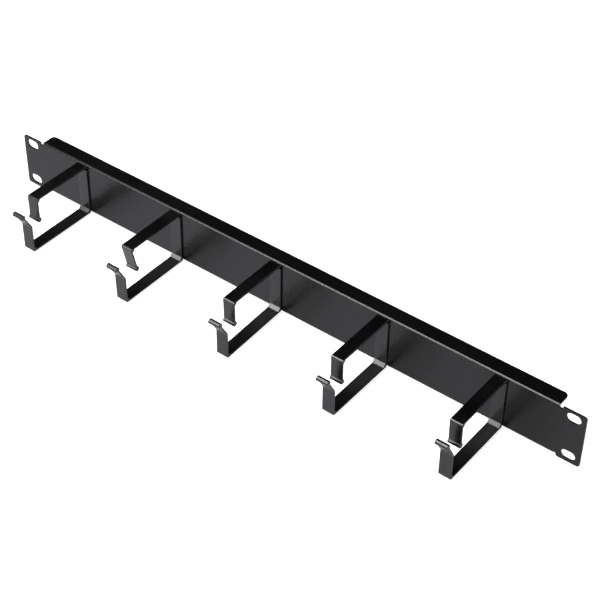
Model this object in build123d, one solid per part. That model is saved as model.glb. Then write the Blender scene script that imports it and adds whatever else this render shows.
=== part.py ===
from build123d import *
from collections import namedtuple
import math
import os

# A one-unit horizontal cable manager for a 19 inch rack: a steel panel with folded edges
# carries five open cable rings in a row along its front.
#
# Millimetres. X runs along the panel, to the right as seen from the front. Z is up.
# The panel's ears bear on the rack posts with the plane y = 0, and y grows into the rack,
# so the rings stand towards negative y. x = 0 and z = 0 are the middle of the four rack slots.

# rack panel: one steel sheet, punched and folded
PANEL_WIDTH = 482.6
SHEET = 1.2
EAR_WIDTH = 19.6
EAR_HEIGHT = 43.0
EAR_CENTRE_Z = -0.2
EAR_CORNER_R = 2.0
CHANNEL_LENGTH = PANEL_WIDTH - 2 * EAR_WIDTH
CHANNEL_TOP_Z = 21.8
CHANNEL_BOTTOM_Z = -20.7
FLANGE_DEPTH = 11.8
FLANGE_CORNER_R = 3.0
BEND_OUT_R = 1.6

# relief notches that part the folded edges from the flat ears
NOTCH_WIDTH = 2.6
NOTCH_FLOOR_Z = 19.2

# rack slots, at the two ends of the panel
SLOT_INSET = 8.75
SLOT_SPACING_X = PANEL_WIDTH - 2 * SLOT_INSET
SLOT_SPACING_Z = 31.75
SLOT_LENGTH = 10.5
SLOT_WIDTH = 7.1

# cable rings: a moulded strip bent round to an open rectangle, with a bead on each free end;
# the end margin runs from the folded channel's end to the middle of the first or the last ring
END_MARGIN = 41.3
RING_ROW_X = -0.9
STRIP = 1.4
RING_WIDTH = 9.4
RING_TOP_Z = 21.2
RING_BOTTOM_Z = -21.2
TOP_REACH = 51.8
MOUTH = 8.0
BOTTOM_REACH = TOP_REACH + MOUTH
UPPER_LEG = 19.0
LOWER_LEG = 22.2
LEAN_LENGTH = 13.5
LEAN_ANGLE = 29.5
CORNER_OUT_R = 1.3
CORNER_GUSSET = 2.2
LEAN_BEND_R = 2.5
BEAD_R = 1.9
BEAD_NECK_R = 0.7
RIM_BREAK = 0.2

# stakes moulded on a ring's back, pushed through the panel and headed over behind it
STAKE_R = 2.0
STAKE_CLEARANCE = 0.1
STAKE_Z = 11.0
STAKE_HEAD_R = 3.4
STAKE_HEAD = 1.1
STAKE_HEAD_BREAK = 0.5

# The soft rings don't stand quite alike. Each one departs from the even row and from its moulded form by
# shift: its place along x; top and bottom: the reach of the two bars; tip: the length of the upper leg;
# high and low: the backward tilt of the upper leg's two halves, degrees; lift: the rear end of the bottom bar;
# droop: how far the bottom bar hangs towards the front, degrees; lower: the length of the lower leg;
# lean: the length of its leaning end; forward: the forward tilt of the lower leg, degrees.
Ring = namedtuple("Ring", "shift top tip high low bottom lift droop lower lean forward", defaults=(0,) * 11)
RINGS = (
    Ring(tip=-0.4, high=0.4, low=0.4, bottom=0.3, forward=-0.4),
    Ring(shift=0.1, top=0.6, tip=1.7, high=12.8, low=13.5, bottom=0.1, lower=-0.5, lean=-0.3, forward=1.1),
    Ring(top=-0.4, tip=0.3, high=2.3, low=2.3, bottom=-1.0, lift=0.9, droop=2.5, lower=-0.9, forward=0.5),
    Ring(shift=-0.6, top=-0.2, tip=-0.1, high=1.0, low=1.0, bottom=-0.2, lower=-0.7, lean=-0.4, forward=0.4),
    Ring(shift=0.2, top=0.2, tip=0.2, high=2.2, low=2.2, forward=0.5),
)


def obround(length, width, depth):
    # a slot lying along x, cut square through y
    with BuildPart() as tool:
        with BuildSketch(Plane.XZ):
            SlotOverall(length, width)
        extrude(amount=depth, both=True)
    return tool.part


def channel():
    # the web and its two flanges, folded back with a small bend radius
    with BuildPart() as part:
        with BuildSketch(Plane.YZ.offset(-CHANNEL_LENGTH / 2)):
            with BuildLine():
                Polyline(
                    (FLANGE_DEPTH - SHEET, CHANNEL_TOP_Z),
                    (-SHEET, CHANNEL_TOP_Z),
                    (-SHEET, CHANNEL_BOTTOM_Z),
                    (FLANGE_DEPTH - SHEET, CHANNEL_BOTTOM_Z),
                    (FLANGE_DEPTH - SHEET, CHANNEL_BOTTOM_Z + SHEET),
                    (0, CHANNEL_BOTTOM_Z + SHEET),
                    (0, CHANNEL_TOP_Z - SHEET),
                    (FLANGE_DEPTH - SHEET, CHANNEL_TOP_Z - SHEET),
                    close=True,
                )
            face = make_face()
            outer = [v for v in face.vertices() if v.X < -SHEET / 2]
            inner = [v for v in face.vertices() if abs(v.X) < SHEET / 2]
            fillet(outer, BEND_OUT_R)
            fillet(inner, BEND_OUT_R - SHEET)
        extrude(amount=CHANNEL_LENGTH)
        rear = part.edges().filter_by(Axis.Z).filter_by(lambda e: e.center().Y > FLANGE_DEPTH - SHEET - 0.01)
        fillet(rear, FLANGE_CORNER_R)
    return part.part


def ear(side):
    # a flat ear with rounded outer corners, joined to the web between the two notches
    middle_x = (CHANNEL_LENGTH + EAR_WIDTH) / 2
    with BuildPart() as part:
        with Locations((side * middle_x, -SHEET / 2, EAR_CENTRE_Z)):
            Box(EAR_WIDTH, SHEET, EAR_HEIGHT)
        outer = part.edges().filter_by(Axis.Y).filter_by(lambda e: side * e.center().X > middle_x)
        fillet(outer, EAR_CORNER_R)
    return part.part


def notch(side, up):
    # a relief notch with a round floor, open at the sheet's edge
    x = side * (CHANNEL_LENGTH + NOTCH_WIDTH) / 2
    radius = NOTCH_WIDTH / 2
    floor = up * (NOTCH_FLOOR_Z + radius)
    rim = up * (EAR_HEIGHT + abs(EAR_CENTRE_Z))
    shaft = Pos(x, 0, (floor + rim) / 2) * Box(NOTCH_WIDTH, 4 * SHEET, abs(rim - floor))
    end = Pos(x, 0, floor) * Rot(90, 0, 0) * Cylinder(radius, 4 * SHEET)
    return shaft + end


def ring_x(number):
    # the middle of a ring along x, counted from 0 at the left
    pitch = (CHANNEL_LENGTH - 2 * END_MARGIN) / (len(RINGS) - 1)
    return RING_ROW_X + pitch * (number - (len(RINGS) - 1) / 2) + RINGS[number].shift


def rack_panel():
    part = channel() + ear(-1) + ear(1)
    for side in (-1, 1):
        for up in (-1, 1):
            part -= notch(side, up)
            slot = obround(SLOT_LENGTH, SLOT_WIDTH, 4 * SHEET)
            part -= Pos(side * SLOT_SPACING_X / 2, 0, up * SLOT_SPACING_Z / 2) * slot
    for number in range(len(RINGS)):
        for up in (-1, 1):
            hole = Cylinder(STAKE_R + STAKE_CLEARANCE, 4 * SHEET)
            part -= Pos(ring_x(number), 0, up * STAKE_Z) * Rot(90, 0, 0) * hole
    return part


def step(start, angle, length):
    # the point reached from start by going length upwards, turned by angle towards the front
    return (start[0] - length * math.sin(math.radians(angle)), start[1] + length * math.cos(math.radians(angle)))


def inner_line(points, distance):
    # the same open line moved sideways to the right of its run, with mitred corners
    moved = []
    for i, point in enumerate(points):
        normals = []
        for a, b in ((i - 1, i), (i, i + 1)):
            if 0 <= a and b < len(points):
                run = math.hypot(points[b][0] - points[a][0], points[b][1] - points[a][1])
                normals.append(((points[b][1] - points[a][1]) / run, (points[a][0] - points[b][0]) / run))
        n = (sum(v[0] for v in normals) / len(normals), sum(v[1] for v in normals) / len(normals))
        scale = distance / (n[0] ** 2 + n[1] ** 2)
        moved.append((point[0] + scale * n[0], point[1] + scale * n[1]))
    return moved


def near(vertex, point):
    return math.hypot(vertex.X - point[0], vertex.Y - point[1]) < 0.05


def ring_outline(ring):
    # outer line of the strip in side view, from the upper free end round to the lower one
    front = -SHEET
    half_leg = (UPPER_LEG + ring.tip) / 2
    bottom_reach = BOTTOM_REACH + ring.bottom
    rear_bottom = (front, RING_BOTTOM_Z + ring.lift)
    top_front = (front - TOP_REACH - ring.top, RING_TOP_Z)
    middle = step(top_front, 180 + ring.high, half_leg)
    upper_end = step(middle, 180 + ring.low, half_leg)
    bottom_front = (front - bottom_reach, rear_bottom[1] - bottom_reach * math.tan(math.radians(ring.droop)))
    lean_start = step(bottom_front, ring.forward, LOWER_LEG + ring.lower)
    lower_end = step(lean_start, LEAN_ANGLE, LEAN_LENGTH + ring.lean)
    return [upper_end, middle, top_front, (front, RING_TOP_Z), rear_bottom, bottom_front, lean_start, lower_end]


def corner(sketch, line, k):
    # the vertex of the sketch at one bend of a line
    return [v for v in sketch.vertices() if near(v, line[k])]


def bead(sketch, outer_end, inner_end, before):
    # a round bead on a free end, blended into the strip; before is the point that the strip comes from
    centre = ((outer_end[0] + inner_end[0]) / 2, (outer_end[1] + inner_end[1]) / 2)
    known = set((round(v.X, 3), round(v.Y, 3)) for v in sketch.vertices())
    with Locations(centre):
        Circle(BEAD_R)
    necks = [v for v in sketch.vertices() if (round(v.X, 3), round(v.Y, 3)) not in known]
    necks = [v for v in necks if abs(math.dist((v.X, v.Y), centre) - BEAD_R) < 0.01]
    necks = [v for v in necks if math.dist((v.X, v.Y), before) < math.dist(before, outer_end)]
    fillet(necks, BEAD_NECK_R)


def cable_ring(number):
    x = ring_x(number)
    outer = ring_outline(RINGS[number])
    inner = inner_line(outer, STRIP)
    square_corners, lean_bend = (2, 3, 4, 5), 6
    with BuildPart() as part:
        with BuildSketch(Plane.YZ.offset(x - RING_WIDTH / 2)) as sketch:
            with BuildLine():
                Polyline(*outer, *reversed(inner), close=True)
            make_face()
            for k in square_corners:
                fillet(corner(sketch, outer, k), CORNER_OUT_R)
                chamfer(corner(sketch, inner, k), CORNER_GUSSET)
            fillet(corner(sketch, outer, lean_bend), LEAN_BEND_R)
            fillet(corner(sketch, inner, lean_bend), LEAN_BEND_R)
            bead(sketch, outer[0], inner[0], outer[1])
            bead(sketch, outer[-1], inner[-1], outer[-2])
        extrude(amount=RING_WIDTH)
        rims = part.edges().filter_by(lambda e: abs(abs(e.center().X - x) - RING_WIDTH / 2) < 0.001)
        chamfer(rims, RIM_BREAK)
    return part.part + stakes(x)


def stakes(x):
    # two round stakes through the panel, each headed over behind it
    shank = Pos(0, -SHEET / 2, 0) * Rot(90, 0, 0) * Cylinder(STAKE_R, SHEET + 2 * STAKE_CLEARANCE)
    head = Cylinder(STAKE_HEAD_R, STAKE_HEAD)
    head = chamfer(head.edges().group_by(Axis.Z)[0], STAKE_HEAD_BREAK)
    stake = shank + Pos(0, STAKE_HEAD / 2, 0) * Rot(90, 0, 0) * head
    return Pos(x, 0, STAKE_Z) * stake + Pos(x, 0, -STAKE_Z) * stake


def write(node, solid):
    export_step(solid, os.path.join("parts", node + ".step"))


os.makedirs("parts", exist_ok=True)
write("rack_panel", rack_panel())
for number in range(len(RINGS)):
    write("cable_ring_" + str(number + 1), cable_ring(number))
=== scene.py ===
import math

import bmesh
import bpy
from mathutils import Matrix, Vector


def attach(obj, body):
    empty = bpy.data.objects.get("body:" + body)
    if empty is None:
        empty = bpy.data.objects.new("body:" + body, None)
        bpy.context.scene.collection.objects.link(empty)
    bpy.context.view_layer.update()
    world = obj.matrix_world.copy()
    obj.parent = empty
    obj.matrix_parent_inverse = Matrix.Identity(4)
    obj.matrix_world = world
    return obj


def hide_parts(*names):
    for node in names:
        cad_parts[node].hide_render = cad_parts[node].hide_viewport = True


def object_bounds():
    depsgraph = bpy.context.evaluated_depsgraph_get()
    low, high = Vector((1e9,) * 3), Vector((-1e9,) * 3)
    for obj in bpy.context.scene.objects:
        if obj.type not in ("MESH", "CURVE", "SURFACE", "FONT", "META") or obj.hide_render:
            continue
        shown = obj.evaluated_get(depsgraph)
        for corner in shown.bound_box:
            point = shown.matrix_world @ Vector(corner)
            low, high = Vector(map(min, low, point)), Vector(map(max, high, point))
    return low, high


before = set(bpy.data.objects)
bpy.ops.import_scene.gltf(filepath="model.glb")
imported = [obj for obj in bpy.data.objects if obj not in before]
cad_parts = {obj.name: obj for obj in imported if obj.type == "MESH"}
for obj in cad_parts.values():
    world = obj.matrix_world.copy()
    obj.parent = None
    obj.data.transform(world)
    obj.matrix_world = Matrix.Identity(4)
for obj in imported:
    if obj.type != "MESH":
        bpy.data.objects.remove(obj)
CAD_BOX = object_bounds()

# Rack panel
# One sheet of 1.2 mm steel, slotted at both ends and folded back along its top and bottom edge,
# then powder coated black. The coat is semi-gloss with a fine orange peel, and rounds each edge a little.

MM = 0.001
COAT_BLACK = (0.0008, 0.0008, 0.0011, 1.0)
COAT_GREY = (0.0028, 0.0028, 0.0034, 1.0)
COAT_ROUGHNESS = (0.22, 0.3)
COAT_IOR = 1.45
COAT_DRIFT, COAT_PEEL, COAT_GRAIN = 22.0, 600.0, 3200.0
COAT_PEEL_DEPTH, COAT_GRAIN_DEPTH = 0.13 * MM, 0.012 * MM
COAT_BUMP = 0.6
NARROW_BAND, WIDE_BAND = (0.35, 0.65), (0.3, 0.7)


def new_material(name):
    """An empty node material; returns it with its node list, its link list and its surface shader."""
    material = bpy.data.materials.new(name)
    material.use_nodes = True
    nodes, links = material.node_tree.nodes, material.node_tree.links
    nodes.clear()
    surface = nodes.new("ShaderNodeBsdfPrincipled")
    output = nodes.new("ShaderNodeOutputMaterial")
    links.new(surface.outputs["BSDF"], output.inputs["Surface"])
    return material, nodes, links, surface


def noise(nodes, links, source, cells, detail=3.0):
    """A noise pattern on the piece's own coordinates, with so many cells for each metre."""
    node = nodes.new("ShaderNodeTexNoise")
    node.inputs["Scale"].default_value = cells
    node.inputs["Detail"].default_value = detail
    links.new(source, node.inputs["Vector"])
    return node.outputs["Fac"]


def remap(nodes, links, value, low, high, to_low, to_high):
    """A value taken from one range to another, held at both ends."""
    node = nodes.new("ShaderNodeMapRange")
    for key, number in (("From Min", low), ("From Max", high), ("To Min", to_low), ("To Max", to_high)):
        node.inputs[key].default_value = number
    links.new(value, node.inputs["Value"])
    return node.outputs["Result"]


def blend_colours(nodes, links, share, colour_a, colour_b):
    """A colour between two, by share."""
    node = nodes.new("ShaderNodeMix")
    node.data_type = "RGBA"
    node.inputs["A"].default_value = colour_a
    node.inputs["B"].default_value = colour_b
    links.new(share, node.inputs["Factor"])
    return node.outputs["Result"]


def bump(nodes, links, height, distance, strength, under=None):
    """A normal pushed about by a height pattern, on top of another bump."""
    node = nodes.new("ShaderNodeBump")
    node.inputs["Distance"].default_value = distance
    node.inputs["Strength"].default_value = strength
    links.new(height, node.inputs["Height"])
    if under is not None:
        links.new(under, node.inputs["Normal"])
    return node.outputs["Normal"]


def powder_coat():
    """Black powder coat: orange peel under a fine grain, with a slow drift in gloss."""
    material, nodes, links, surface = new_material("powder_coat")
    place = nodes.new("ShaderNodeTexCoord").outputs["Object"]
    drift = noise(nodes, links, place, COAT_DRIFT)
    peel = noise(nodes, links, place, COAT_PEEL, detail=1.5)
    grain = noise(nodes, links, place, COAT_GRAIN, detail=2.0)
    share = remap(nodes, links, grain, *NARROW_BAND, 0.0, 1.0)
    links.new(blend_colours(nodes, links, share, COAT_BLACK, COAT_GREY), surface.inputs["Base Color"])
    gloss = remap(nodes, links, drift, *WIDE_BAND, *COAT_ROUGHNESS)
    links.new(gloss, surface.inputs["Roughness"])
    surface.inputs["IOR"].default_value = COAT_IOR
    peeled = bump(nodes, links, peel, COAT_PEEL_DEPTH, COAT_BUMP)
    grained = bump(nodes, links, grain, COAT_GRAIN_DEPTH, COAT_BUMP, under=peeled)
    links.new(grained, surface.inputs["Normal"])
    return material


COAT_EDGE = 0.18 * MM
EDGE_SEGMENTS = 2
MERGE_DISTANCE = 0.002 * MM
FLAT_TOLERANCE, SHARP_ANGLE = math.radians(0.2), math.radians(30)


def rounded_copy(node, name, radius, material):
    """A merged copy of a CAD piece that stands for it, with each edge over 30 degrees rounded off."""
    shape = bmesh.new()
    shape.from_mesh(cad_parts[node].data)
    bmesh.ops.remove_doubles(shape, verts=shape.verts, dist=MERGE_DISTANCE)
    bmesh.ops.dissolve_limit(shape, angle_limit=FLAT_TOLERANCE, verts=shape.verts, edges=shape.edges)
    bmesh.ops.recalc_face_normals(shape, faces=shape.faces)
    mesh = bpy.data.meshes.new(name)
    shape.to_mesh(mesh)
    shape.free()
    mesh.shade_smooth()
    mesh.materials.append(material)
    piece = bpy.data.objects.new(name, mesh)
    bpy.context.scene.collection.objects.link(piece)
    edge = piece.modifiers.new("edge", "BEVEL")
    edge.limit_method = "ANGLE"
    edge.angle_limit = SHARP_ANGLE
    edge.width = radius
    edge.segments = EDGE_SEGMENTS
    flat = piece.modifiers.new("flat", "WEIGHTED_NORMAL")
    flat.mode = "FACE_AREA"
    flat.weight = 100
    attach(piece, "root")
    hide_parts(node)
    return piece


rounded_copy("rack_panel", "coated_panel", COAT_EDGE, powder_coat())

# Cable rings
# Each is one flexible plastic moulding: a flat strip bent round to an open rectangle, with a round bead
# on each free end. Stakes on its back pass through the panel and are headed over behind it.

RING_BLACK = (0.0010, 0.0010, 0.0014, 1.0)
RING_GREY = (0.0026, 0.0026, 0.0032, 1.0)
RING_ROUGHNESS = (0.21, 0.28)
RING_IOR = 1.55
RING_DRIFT, RING_GRAIN = 60.0, 2400.0
RING_GRAIN_DEPTH, RING_BUMP = 0.012 * MM, 0.5


def moulded_plastic():
    """Black moulded plastic with a satin skin and a very fine grain."""
    material, nodes, links, surface = new_material("moulded_plastic")
    place = nodes.new("ShaderNodeTexCoord").outputs["Object"]
    drift = noise(nodes, links, place, RING_DRIFT)
    grain = noise(nodes, links, place, RING_GRAIN, detail=2.0)
    share = remap(nodes, links, drift, *NARROW_BAND, 0.0, 1.0)
    links.new(blend_colours(nodes, links, share, RING_BLACK, RING_GREY), surface.inputs["Base Color"])
    gloss = remap(nodes, links, drift, *WIDE_BAND, *RING_ROUGHNESS)
    links.new(gloss, surface.inputs["Roughness"])
    surface.inputs["IOR"].default_value = RING_IOR
    links.new(bump(nodes, links, grain, RING_GRAIN_DEPTH, RING_BUMP), surface.inputs["Normal"])
    return material


RINGS = 5
RIM_EDGE = 0.2 * MM
ring_plastic = moulded_plastic()
for number in range(1, RINGS + 1):
    node, name = "cable_ring_" + str(number), "moulded_ring_" + str(number)
    rounded_copy(node, name, RIM_EDGE, ring_plastic)

# Floor
# A plain white table that the object stands on. It glows a little for camera and mirrored rays alone, so it
# is seen white, with a faint soft shadow under the object.

FLOOR_SIZE = 6.0
SEEN_GLOW = 0.9
MIRRORED_GLOW = 0.1
FLOOR_COLOUR = (0.53, 0.53, 0.56, 1.0)


def floor_material():
    """Diffuse paint, with a glow added for camera, glossy and transmission rays alone."""
    material = bpy.data.materials.new("white_table")
    material.use_nodes = True
    nodes, links = material.node_tree.nodes, material.node_tree.links
    nodes.clear()
    paint = nodes.new("ShaderNodeBsdfDiffuse")
    paint.inputs["Color"].default_value = FLOOR_COLOUR
    glow = nodes.new("ShaderNodeEmission")
    rays = nodes.new("ShaderNodeLightPath")
    level = None
    for ray, strength in (("Is Camera Ray", SEEN_GLOW), ("Is Glossy Ray", MIRRORED_GLOW),
                          ("Is Transmission Ray", MIRRORED_GLOW)):
        share = nodes.new("ShaderNodeMath")
        share.operation = "MULTIPLY_ADD"
        share.inputs[1].default_value = strength
        share.inputs[2].default_value = 0.0
        links.new(rays.outputs[ray], share.inputs[0])
        if level is not None:
            links.new(level, share.inputs[2])
        level = share.outputs["Value"]
    links.new(level, glow.inputs["Strength"])
    both = nodes.new("ShaderNodeAddShader")
    links.new(paint.outputs["BSDF"], both.inputs[0])
    links.new(glow.outputs["Emission"], both.inputs[1])
    output = nodes.new("ShaderNodeOutputMaterial")
    links.new(both.outputs["Shader"], output.inputs["Surface"])
    return material


def flat_sheet(name, size, z):
    """A square face that looks up: x and y run over plus and minus half the size, at one height."""
    half = size / 2
    corners = [(-half, -half, z), (half, -half, z), (half, half, z), (-half, half, z)]
    mesh = bpy.data.meshes.new(name)
    mesh.from_pydata(corners, [], [(0, 1, 2, 3)])
    thing = bpy.data.objects.new(name, mesh)
    bpy.context.scene.collection.objects.link(thing)
    return thing


floor = flat_sheet("white_table", FLOOR_SIZE, CAD_BOX[0][2])
floor.data.materials.append(floor_material())

# Studio
# A wide soft lamp in front and one overhead for the folds, a smaller one on the left, and a weak one behind
# on the right for the edges. The room above is dark, and a pale wall runs round it at the table's height.

MIDDLE = Vector((0.0, -0.02, 0.0))


def soft_lamp(name, towards, distance, width, height, radiance):
    """A rectangular lamp that looks at the object; its power is radiance times area times pi."""
    data = bpy.data.lights.new(name, "AREA")
    data.shape = "RECTANGLE"
    data.size, data.size_y = width, height
    data.energy = radiance * width * height * math.pi
    lamp = bpy.data.objects.new(name, data)
    direction = Vector(towards).normalized()
    lamp.location = MIDDLE + distance * direction
    lamp.rotation_euler = direction.to_track_quat("Z", "Y").to_euler()
    bpy.context.scene.collection.objects.link(lamp)
    return lamp


soft_lamp("front_lamp", towards=(-0.36, -0.79, 0.475), distance=1.5, width=1.05, height=0.66, radiance=10.0)
soft_lamp("top_lamp", towards=(-0.23, -0.38, 0.90), distance=1.4, width=0.9, height=0.45, radiance=18.0)
soft_lamp("left_lamp", towards=(-0.60, 0.12, 0.79), distance=1.4, width=0.4, height=0.4, radiance=3.0)
soft_lamp("rim_lamp", towards=(0.653, 0.604, 0.457), distance=1.5, width=0.9, height=0.7, radiance=2.0)

HORIZON, DARK_ABOVE = 0.02, 0.2
WALL_LEVEL, OVERHEAD_LEVEL = 0.4, 0.016
WHITE = (1.0, 1.0, 1.0, 1.0)


def studio_world():
    """White for camera rays; for all other rays dark overhead and paler towards the horizon."""
    world = bpy.data.worlds.new("studio")
    bpy.context.scene.world = world
    world.use_nodes = True
    nodes, links = world.node_tree.nodes, world.node_tree.links
    nodes.clear()
    place = nodes.new("ShaderNodeTexCoord")
    split = nodes.new("ShaderNodeSeparateXYZ")
    links.new(place.outputs["Generated"], split.inputs["Vector"])
    level = remap(nodes, links, split.outputs["Z"], HORIZON, DARK_ABOVE, WALL_LEVEL, OVERHEAD_LEVEL)
    rays = nodes.new("ShaderNodeLightPath")
    seen = nodes.new("ShaderNodeMath")
    seen.operation = "MAXIMUM"
    links.new(rays.outputs["Is Camera Ray"], seen.inputs[0])
    links.new(level, seen.inputs[1])
    sky = nodes.new("ShaderNodeBackground")
    sky.inputs["Color"].default_value = WHITE
    links.new(seen.outputs["Value"], sky.inputs["Strength"])
    output = nodes.new("ShaderNodeOutputWorld")
    links.new(sky.outputs["Background"], output.inputs["Surface"])


studio_world()

# Camera
# A long lens that looks down on the front of the panel from the right.

AZIMUTH, ELEVATION, ROLL = math.radians(37.09), math.radians(40.80), math.radians(0.96)
DISTANCE = 1.1066
LOOK_AT = Vector((0.0197, -0.0012, -0.0018))
LENS_MM, FILM_MM = 97.284, 36.0

towards_camera = Vector((
    math.sin(AZIMUTH) * math.cos(ELEVATION), -math.cos(AZIMUTH) * math.cos(ELEVATION), math.sin(ELEVATION)))
level_right = Vector((math.cos(AZIMUTH), math.sin(AZIMUTH), 0.0))
level_up = towards_camera.cross(level_right)
right = math.cos(ROLL) * level_right + math.sin(ROLL) * level_up
up = towards_camera.cross(right)
camera_data = bpy.data.cameras.new("camera")
camera_data.sensor_width = FILM_MM
camera_data.lens = LENS_MM
camera = bpy.data.objects.new("camera", camera_data)
turn = Matrix((right, up, towards_camera)).transposed()
camera.matrix_world = Matrix.Translation(LOOK_AT + DISTANCE * towards_camera) @ turn.to_4x4()
bpy.context.scene.collection.objects.link(camera)
bpy.context.scene.camera = camera

bpy.context.scene.view_settings.view_transform = "Standard"
